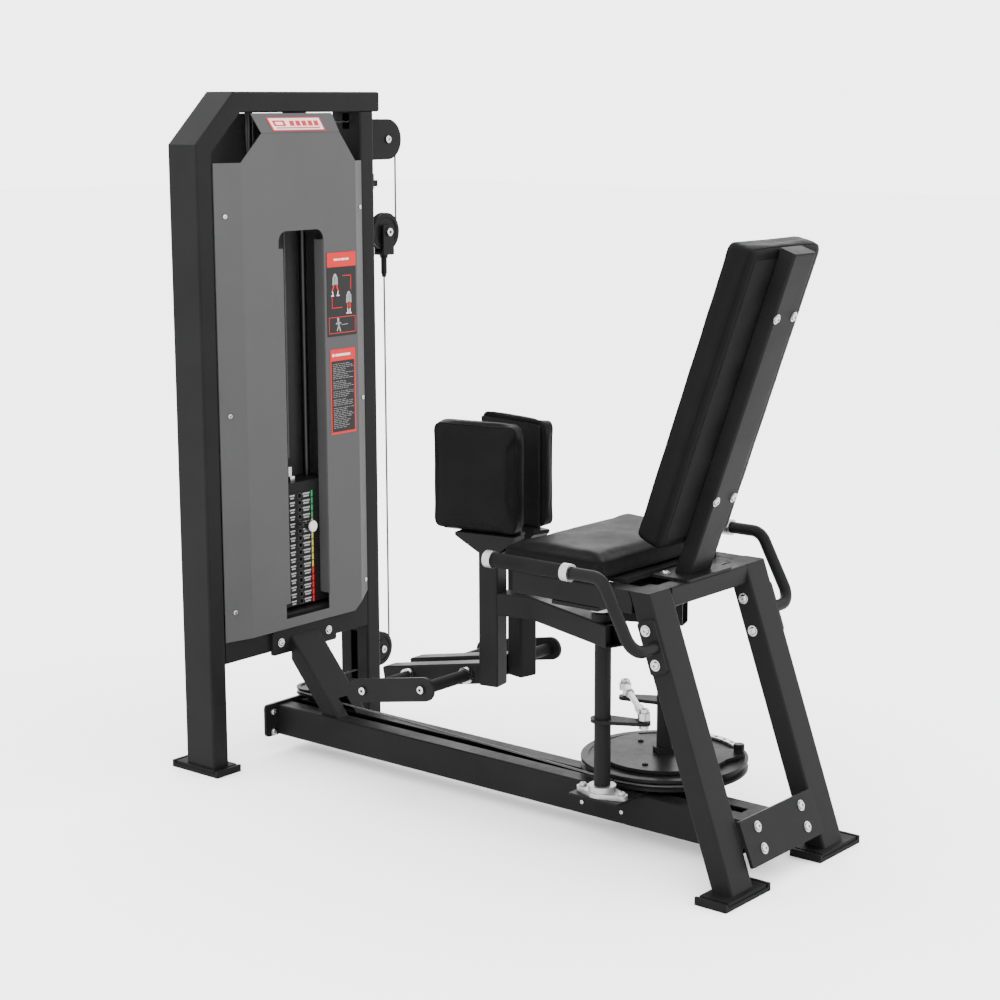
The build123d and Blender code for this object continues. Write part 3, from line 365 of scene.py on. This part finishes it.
def arc_pts(c, r, a0, a1, plane, n=24):
    out = []
    for i in range(n + 1):
        a = math.radians(a0 + (a1 - a0) * i / n)
        if plane == "xz":
            out.append(Vector((c[0] + r * math.cos(a), c[1], c[2] + r * math.sin(a))))
        else:
            out.append(Vector((c[0] + r * math.cos(a), c[1] + r * math.sin(a), c[2])))
    return out


# ------------------------------------------------------------------ cushions
def cushion(name, node, body, back_pt, out_dir, cap, voxel=0.006, pressure=4.0, seam_inset=0.012, shrink=0.003, flat=0.008):
    """upholstered pad grown from its plain solid; the back stays on its board"""
    src = NODES[node]
    me = src.data.copy()
    o = bpy.data.objects.new(name, me)
    bpy.context.scene.collection.objects.link(o)
    me.materials.clear()
    me.materials.append(M_VINYL)
    out_dir = Vector(out_dir).normalized()
    back_pt = Vector(back_pt)
    rm = o.modifiers.new("rm", "REMESH")
    rm.mode = "VOXEL"
    rm.voxel_size = voxel
    bpy.context.view_layer.objects.active = o
    for x in bpy.context.selected_objects:
        x.select_set(False)
    o.select_set(True)
    bpy.ops.object.modifier_apply(modifier="rm")
    me = o.data
    # draw the sides in a little so that the filled shape stays in its space
    bm = bmesh.new()
    bm.from_mesh(me)
    bm.normal_update()
    for v in bm.verts:
        d = (v.co - back_pt).dot(out_dir)
        n = v.normal - out_dir * v.normal.dot(out_dir)
        v.co -= n * shrink
        if d > 0.5 * cap:
            v.co -= out_dir * shrink * max(0.0, v.normal.dot(out_dir))
    bm.to_mesh(me)
    bm.free()
    rest = [v.co.copy() for v in me.vertices]
    vg = o.vertex_groups.new(name="pin")
    idx = [v.index for v in me.vertices if (v.co - back_pt).dot(out_dir) < flat]
    vg.add(idx, 1.0, "REPLACE")
    cl = o.modifiers.new("cloth", "CLOTH")
    cs = cl.settings
    cs.quality = 5
    cs.mass = 0.4
    cs.tension_stiffness = 18
    cs.compression_stiffness = 18
    cs.shear_stiffness = 8
    cs.bending_stiffness = 0.6
    cs.use_pressure = True
    cs.uniform_pressure_force = pressure
    cs.effector_weights.gravity = 0
    cs.vertex_group_mass = "pin"
    cl.collision_settings.use_collision = False
    cl.collision_settings.use_self_collision = False
    sc = bpy.context.scene
    sc.frame_start, sc.frame_end = 1, 20
    for f in range(1, 21):
        sc.frame_set(f)
    dg = bpy.context.evaluated_depsgraph_get()
    ev = o.evaluated_get(dg)
    em = ev.to_mesh()
    sim = [v.co.copy() for v in em.vertices]
    ev.to_mesh_clear()
    o.modifiers.remove(cl)
    sc.frame_set(1)
    for v, a, b in zip(me.vertices, rest, sim):
        d = b - a
        if d.length > cap:
            d = d.normalized() * cap
        v.co = a + d
    # a slow, shallow unevenness of foam under a stretched cover
    bm = bmesh.new()
    bm.from_mesh(me)
    for _ in range(3):
        bmesh.ops.smooth_vert(bm, verts=bm.verts, factor=0.5, use_axis_x=True, use_axis_y=True, use_axis_z=True)
    bm.normal_update()
    for v in bm.verts:
        v.co += v.normal * (0.0007 * noise.noise(v.co * 16.0) + 0.00025 * noise.noise(v.co * 60.0))
    bm.to_mesh(me)
    bm.free()
    sub = o.modifiers.new("sub", "SUBSURF")
    sub.levels = sub.render_levels = 1
    bpy.context.view_layer.objects.active = o
    bpy.ops.object.modifier_apply(modifier="sub")
    me = o.data
    me.polygons.foreach_set("use_smooth", [True] * len(me.polygons))
    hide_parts(node)
    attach(o, body)
    return o


def seam_loop(name, pad, body, origin, xd, yd, out_dir, hx, hy, r, depth, rad=0.0011, n_side=26):
    """sewn welt round a pad: a rounded rectangle dropped onto the cushion's skin from its edge"""
    me = pad.data
    bm0 = bmesh.new()
    bm0.from_mesh(me)
    tree = BVHTree.FromBMesh(bm0)
    pts = []
    for (cx, cy, a0) in ((hx - r, hy - r, 0), (-hx + r, hy - r, 90), (-hx + r, -hy + r, 180), (hx - r, -hy + r, 270)):
        for k in range(9):
            a = math.radians(a0 + 90 * k / 8)
            pts.append((cx + r * math.cos(a), cy + r * math.sin(a)))
    dense = []
    for i in range(len(pts)):
        a, b = Vector(pts[i]), Vector(pts[(i + 1) % len(pts)])
        m = max(1, int((b - a).length / 0.008))
        for k in range(m):
            dense.append(a.lerp(b, k / m))
    out = []
    for q in dense:
        p = origin + xd * q.x + yd * q.y + out_dir * depth
        hit = tree.find_nearest(p)
        out.append(hit[0] + hit[1] * rad * 0.25)
    bm0.free()
    # a light smoothing keeps the sewn line even
    for _ in range(2):
        out = [(out[i - 1] + out[i] * 2 + out[(i + 1) % len(out)]) / 4 for i in range(len(out))]
    bm = bmesh.new()
    add_tube(bm, out, rad, 8, closed=True)
    o = obj_from_bm(name, bm, M_SEAM)
    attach(o, body)
    return o


# ------------------------------------------------------------------ upholstery
g = Vector((-0.182, 0.983, 0)).normalized()
w = Vector((-g.y, g.x, 0))
UP = Vector((0, 0, 1))
for side, nm in ((1, "left"), (-1, "right")):
    gg = Vector((g.x * side, g.y, 0))
    ww = Vector((w.x * side, w.y, 0))
    C = W(-54.0 * side, -9.8, 0)
    bp = C - ww * 0.005
    pad = cushion(nm + "_thigh_pad", nm + "_pad", nm + "_arm", bp, ww, 0.007, voxel=0.005, shrink=0.0035)
    org = C - ww * 0.005 + gg * 0.031 + UP * 0.7925
    seam_loop(nm + "_pad_welt_front", pad, nm + "_arm", org, gg, UP, ww, 0.1135, 0.127, 0.026, 0.0365)
    seam_loop(nm + "_pad_welt_back", pad, nm + "_arm", org, gg, UP, ww, 0.120, 0.133, 0.027, 0.004)

seat = cushion("seat_pad", "seat_cushion", "root", W(0, -316.5, 640), (0, 0, 1), 0.009, voxel=0.006, shrink=0.004)
so = W(0, -316.5, 640)
X, Y = Vector((1, 0, 0)), Vector((0, 1, 0))
seam_loop("seat_welt_top", seat, "root", so, X, Y, UP, 0.229, 0.1375, 0.020, 0.0425)
seam_loop("seat_welt_low", seat, "root", so, X, Y, UP, 0.236, 0.144, 0.020, 0.008)

B_RUN = (785 - 574) / 600.0
BL = math.atan(B_RUN)
bu = Vector((0, -math.sin(BL), math.cos(BL)))
bf = Vector((0, math.cos(BL), math.sin(BL)))
bo = W(0, -574, 700) + bf * 0.040
back = cushion("back_pad", "backrest_pad", "root", bo, bf, 0.0035, voxel=0.006, shrink=0.001)
bc = bo + bu * (-0.016 + 0.343)
seam_loop("back_welt_front", back, "root", bc, X, bu, bf, 0.1345, 0.3385, 0.024, 0.0625)
seam_loop("back_welt_rear", back, "root", bc, X, bu, bf, 0.143, 0.3465, 0.023, 0.007)
# pull-down seams across the back cushion are not present; its board shows behind
bm = bmesh.new()
ax = Matrix((X, bu, bf)).transposed()
add_box(bm, bc + bf * 0.0005 - bf * 0.0, (0.236, 0.640, 0.003), ax, 0.001)
board = obj_from_bm("back_board", bm, M_RUB)
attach(board, "root")


# ------------------------------------------------------------------ cables
def cable(name, pts, body, node=None, r=0.0025, extra=(), mat=None):
    bm = bmesh.new()
    add_tube(bm, pts, r, 14)
    for e in extra:
        add_tube(bm, e, r, 14)
    o = obj_from_bm(name, bm, mat or M_CABLE)
    if node:
        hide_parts(node)
    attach(o, body)
    return o


def line(a, b, n=12):
    return [a.lerp(b, i / n) for i in range(n + 1)]


PX, ZT, ZF, PG = 382.0, 1544.0, 1304.5, 46.0
STX = 12.5 + PG
s1 = cable("stack_rope", line(W(12.5, 718, 750), W(12.5, 718, ZT), 30), "root", "stack_cable_run")
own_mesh(s1)
d1 = cable("drive_rope", line(W(380, 718, 185), W(380, 718, 1192), 40), "root", "drive_cable_run")
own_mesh(d1)
f1 = cable("loop_rope_upper", line(W(PX + PG, 718, ZF), W(PX + PG, 718, ZT)), "root", "floating_cable_runs", extra=[line(W(PX - PG, 718, ZF), W(PX - PG, 718, 1448))])
f2 = cable("loop_rope_lower", line(W(PX + PG, 718, ZF + 152), W(PX + PG, 718, ZF)) + arc_pts(W(PX, 718, ZF), PG / 1000, 0, -180, "xz", 24)[1:-1] + line(W(PX - PG, 718, ZF), W(PX - PG, 718, ZF + 150)), "floating_block", r=0.00242)

# ------------------------------------------------------------------ tower labels
bm = bmesh.new()
YL = 649.6


def tag(x0, x1, z0, z1, mi, lift=0.3, bev=0.0):
    add_box(bm, W((x0 + x1) / 2, YL - lift / 2, (z0 + z1) / 2), ((x1 - x0) / 1000, 0.0002 + lift / 1000, (z1 - z0) / 1000), None, bev, mi)


def stroke(x0, z0, x1, z1, t, mi, lift=0.9):
    a, b = Vector((x0, z0)), Vector((x1, z1))
    d = (b - a)
    L = d.length
    ang = math.atan2(d.y, d.x)
    R = Matrix.Rotation(-ang, 3, "Y")
    add_box(bm, W((x0 + x1) / 2, YL - lift / 2, (z0 + z1) / 2), (L / 1000 + t / 2000, 0.0002 + lift / 1000, t / 1000), R, 0.0001, mi)


def disc_tag(x, z, r, mi, lift=0.9):
    t = bmesh.new()
    bmesh.ops.create_cone(t, cap_ends=True, segments=28, radius1=r / 1000, radius2=r / 1000, depth=lift / 1000)
    bmesh.ops.transform(t, matrix=Matrix.Translation(W(x, YL - lift / 2, z)) @ Matrix.Rotation(math.radians(90), 4, "X"), verts=t.verts)
    merge(bm, t, mi)


# materials: 0 black, 1 red, 2 white, 3 grey
tag(93, 198, 1056, 1268, 0, 0.5, 0.0001)
tag(93.4, 197.6, 1231, 1267.6, 1, 0.8)
for k, (a, b) in enumerate(((118, 132), (134.5, 141), (143.5, 158), (160.5, 172))):
    tag(a, b, 1247, 1252, 2, 1.1)


def legs_icon(cx, zt, spread, s=1.0):
    """torso and two legs seen from the front, as plain rounded strokes"""
    disc_tag(cx, zt - 4, 5.5 * s, 3)
    stroke(cx - 5 * s, zt - 8, cx - 6 * s, zt - 26, 7 * s, 3)
    stroke(cx + 5 * s, zt - 8, cx + 6 * s, zt - 26, 7 * s, 3)
    stroke(cx, zt - 8, cx, zt - 24, 8 * s, 3)
    stroke(cx - 4, zt - 26, cx - 4 - spread, zt - 42, 4, 1)
    stroke(cx + 4, zt - 26, cx + 4 + spread, zt - 42, 4, 1)
    stroke(cx - 4 - spread, zt - 43, cx - 3 - spread * 0.8, zt - 52, 3, 2)
    stroke(cx + 4 + spread, zt - 43, cx + 3 + spread * 0.8, zt - 52, 3, 2)
    stroke(cx - 8 - spread, zt - 54, cx - 2 - spread * .6, zt - 54, 3, 2)
    stroke(cx + 2 + spread * .6, zt - 54, cx + 8 + spread, zt - 54, 3, 2)


legs_icon(122, 1213, 6.5)
legs_icon(171, 1166, 0.5)
stroke(149, 1208, 179, 1208, 1.8, 1)
stroke(179, 1208, 179, 1172, 1.8, 1)
stroke(110, 1160, 110, 1128, 1.8, 1)
stroke(110, 1128, 146, 1128, 1.8, 1)
for a in ((98, 1104, 193, 1104), (98, 1064, 193, 1064), (98, 1104, 98, 1064), (193, 1104, 193, 1064)):
    stroke(*a, 1.6, 1)
disc_tag(131, 1099, 3.6, 3)
stroke(131, 1095, 133, 1082, 6, 3)
stroke(131, 1092, 123, 1087, 2.6, 3)
stroke(132, 1092, 141, 1088, 2.6, 3)
stroke(132, 1082, 127, 1070, 3.4, 3)
stroke(134, 1082, 139, 1068, 3.4, 3)
stroke(144, 1084, 166, 1085, 1.2, 3)
# notice panel: red rim, dark middle, plain ruled lines where the words would be
tag(100, 191, 805, 1023, 1, 0.5, 0.0001)
tag(104, 187, 811, 993, 0, 0.8)
tag(118, 173, 1005, 1011, 2, 0.9)
disc_tag(111, 1008, 4.2, 2, 0.9)
random.seed(4)
z = 985
while z > 818:
    x = 108
    end = 150 + random.random() * 32
    while x < end:
        ln = 4 + random.random() * 12
        stroke(x + 1, z, min(x + ln, 183), z, 0.9, 3, 1.0)
        x += ln + 2.4
    z -= 4.6 if random.random() > 0.18 else 7.5
labels = obj_from_bm("tower_labels", bm, [M_BLACK, M_RED, M_WHITE, M_SKIN], smooth=False)
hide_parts("label_plates")
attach(labels, "root")
# head badge: white plate, red rim and plain bars in place of a mark
hd = Vector((0, 15, 48)).normalized()
hn = Vector((0, -48, 15)).normalized()
HO = W(11, 652, 1566.5) + hn * 0.002
bm = bmesh.new()


def badge(pts, z0, z1, mi):
    t = bmesh.new()
    lo = [t.verts.new(HO + X * (px / 1000) + hd * (py / 1000) + hn * z0) for px, py in pts]
    hi = [t.verts.new(HO + X * (px / 1000) + hd * (py / 1000) + hn * z1) for px, py in pts]
    n = len(pts)
    t.faces.new(lo[::-1])
    t.faces.new(hi)
    for i in range(n):
        t.faces.new((lo[i], lo[(i + 1) % n], hi[(i + 1) % n], hi[i]))
    merge(bm, t, mi)


badge([(-92, 4), (88, 4), (76, 38), (-108, 38)], 0.0, 0.0008, 0)
badge([(-88, 6.6), (83, 6.6), (73, 35.4), (-101.5, 35.4)], 0.0009, 0.0011, 1)
badge([(-78, 10), (72, 10), (71, 12.6), (-80, 12.6)], 0.0012, 0.0015, 0)
for i in range(5):
    x0 = -30 + i * 21
    badge([(x0, 16), (x0 + 15, 16), (x0 + 12.5, 29), (x0 - 2.5, 29)], 0.0012, 0.0015, 0)
badge([(-84, 16), (-44, 16), (-50, 30), (-91, 30)], 0.0012, 0.0015, 0)
badge([(-78, 19), (-54, 19), (-57, 26), (-82, 26)], 0.0016, 0.0018, 1)
bd = obj_from_bm("head_badge", bm, [M_RED, M_WHITE], smooth=False)
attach(bd, "root")

# ------------------------------------------------------------------ stack strips
PT, PITCH, Z0 = 17.6, 18.3, 374.0


def stack_marks(name, lo, hi, body):
    global bm
    bm = bmesh.new()
    for i in range(lo, hi):
        zc = Z0 + i * PITCH + PT / 2
        mi = 1 if i >= 12 else (2 if i >= 5 else 0)
        add_box(bm, W(56, 681.6, zc), (0.0055, 0.0009, PT * 0.00090), None, 0.0002, mi)
        # two short ruled marks each side of the hole, in place of printed figures
        for dz, ln in ((3.2, 0.018), (-3.4, 0.013)):
            add_box(bm, W(-14, 681.7, zc + dz), (ln, 0.0007, 0.0040), None, 0.0002, 3)
            add_box(bm, W(36, 681.7, zc + dz), (ln + 0.007, 0.0007, 0.0040), None, 0.0002, 3)
        # selector bush round each pin hole
        t = bmesh.new()
        bmesh.ops.create_cone(t, cap_ends=False, segments=28, radius1=0.0078, radius2=0.0078, depth=0.0012)
        bmesh.ops.create_cone(t, cap_ends=False, segments=28, radius1=0.0060, radius2=0.0060, depth=0.0012)
        bmesh.ops.transform(t, matrix=Matrix.Translation(W(12.5, 681.6, zc)) @ Matrix.Rotation(math.radians(90), 4, "X"), verts=t.verts)
        merge(bm, t, 4)
        # ring face
        t = bmesh.new()
        n = 28
        a_ = [t.verts.new(W(12.5 + 7.8 * math.cos(2 * math.pi * k / n), 681.0, zc + 7.8 * math.sin(2 * math.pi * k / n))) for k in range(n)]
        b_ = [t.verts.new(W(12.5 + 6.0 * math.cos(2 * math.pi * k / n), 681.0, zc + 6.0 * math.sin(2 * math.pi * k / n))) for k in range(n)]
        for k in range(n):
            t.faces.new((a_[k], a_[(k + 1) % n], b_[(k + 1) % n], b_[k]))
        merge(bm, t, 4)
    o = obj_from_bm(name, bm, [M_RED, M_GREEN, M_YELL, M_SKIN, M_ROD_PAINTED_SHADE], smooth=False)
    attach(o, body)
    return o


stack_marks("resting_marks", 0, 11, "root")
stack_marks("lifted_marks", 11, 16, "lifted_stack")

# ------------------------------------------------------------------ bright hardware
def turned(bm, c, axis, r, h, bev=0.0012, socket=0.0, n=40):
    """turned head or ring standing on c along axis, with a hexagon socket when asked"""
    t = bmesh.new()
    prof_ = [(r, 0.0), (r, h - bev), (r - bev, h)]
    if socket:
        prof_ += [(socket, h), (socket * 0.98, h * 0.45), (0.0005, h * 0.42)]
    else:
        prof_ += [(0.0005, h)]
    ax = Vector(axis).normalized()
    ref = Vector((0, 0, 1)) if abs(ax.z) < 0.9 else Vector((1, 0, 0))
    u = ax.cross(ref).normalized()
    v_ = ax.cross(u)
    rings = []
    for k, (rr, hh) in enumerate(prof_):
        seg = []
        for i in range(n):
            a = 2 * math.pi * i / n
            q = rr
            if socket and k in (3, 4):
                q = rr * math.cos(math.pi / 6) / math.cos((a % (math.pi / 3)) - math.pi / 6)
            seg.append(t.verts.new(c + u * (q * math.cos(a)) + v_ * (q * math.sin(a)) + ax * hh))
        rings.append(seg)
    for a_, b_ in zip(rings, rings[1:]):
        for i in range(n):
            t.faces.new((a_[i], a_[(i + 1) % n], b_[(i + 1) % n], b_[i]))
    t.faces.new(rings[-1])
    t.faces.new(rings[0][::-1])
    merge(bm, t, 0)


for side, nm in ((1, "left"), (-1, "right")):
    bm = bmesh.new()
    for y_, z_ in ((50.0, 316.0), (233.0, 281.0)):
        turned(bm, W(-240 * side, y_, z_), (-side, 0, 0), 0.0094, 0.0064, socket=0.0040)
        turned(bm, W(-88.4 * side, y_, z_), (side, 0, 0), 0.0200, 0.0134)
    o = obj_from_bm(nm + "_peg_hardware", bm, M_STEEL)
    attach(o, nm + "_arm")
bm = bmesh.new()
turned(bm, W(PX, 701, ZF), (0, -1, 0), 0.0104, 0.0070, socket=0.0045)
turned(bm, W(PX, 735, ZF), (0, 1, 0), 0.0104, 0.0070, socket=0.0045)
o = obj_from_bm("block_axle_caps", bm, M_STEEL)
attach(o, "floating_block")
bm = bmesh.new()
turned(bm, W(336, 718, 1440.5), (0, 0, 1), 0.0066, 0.0165)
turned(bm, W(336, 718, 1423.5), (0, 0, -1), 0.0080, 0.0075)
o = obj_from_bm("anchor_sleeve", bm, M_ZINC)
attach(o, "root")

# ------------------------------------------------------------------ stage
cam_d = bpy.data.cameras.new("cam")
cam = bpy.data.objects.new("cam", cam_d)
bpy.context.scene.collection.objects.link(cam)
cam_d.sensor_width = 36.0
cam_d.lens = 75.43
cam_d.clip_end = 100
yaw, pitch, roll = math.radians(50.573), math.radians(10.772), math.radians(-0.169)
fwd = Vector((math.sin(yaw) * math.cos(pitch), math.cos(yaw) * math.cos(pitch), -math.sin(pitch)))
right = Vector((math.cos(yaw), -math.sin(yaw), 0))
upv = right.cross(fwd)
r_ = right * math.cos(roll) + upv * math.sin(roll)
u_ = upv * math.cos(roll) - right * math.sin(roll)
M = Matrix((r_, u_, -fwd)).transposed().to_4x4()
M.translation = W(-3704.8, -3034.0, 1640)
cam.matrix_world = M
bpy.context.scene.camera = cam

bm = bmesh.new()
bmesh.ops.create_grid(bm, x_segments=2, y_segments=2, size=30)
floor = obj_from_bm("studio_floor", bm, new_mat("floor_white")[0], smooth=False)
fm = floor.data.materials[0]
fb = [n for n in fm.node_tree.nodes if n.type == "BSDF_PRINCIPLED"][0]
fb.inputs["Base Color"].default_value = (0.93, 0.93, 0.93, 1)
fb.inputs["Roughness"].default_value = 0.85

wd = bpy.data.worlds.new("studio")
bpy.context.scene.world = wd
wd.use_nodes = True
bg = wd.node_tree.nodes["Background"]
bg.inputs[0].default_value = (1, 1, 1, 1)
bg.inputs[1].default_value = 4.6


def area(name, loc, target, size, power):
    d = bpy.data.lights.new(name, "AREA")
    d.shape = "RECTANGLE"
    d.size, d.size_y = size
    d.energy = power
    o = bpy.data.objects.new(name, d)
    bpy.context.scene.collection.objects.link(o)
    o.location = loc
    o.rotation_euler = (Vector(target) - Vector(loc)).to_track_quat("-Z", "Y").to_euler()
    return o


area("key", (-3.6, -1.2, 3.4), (0, 0, 0.8), (2.2, 2.2), 70)
area("fill", (1.2, -4.2, 2.6), (0, 0, 0.8), (2.5, 2.0), 25)
area("rim", (3.2, 2.6, 3.0), (0, 0, 0.8), (2.0, 2.0), 30)
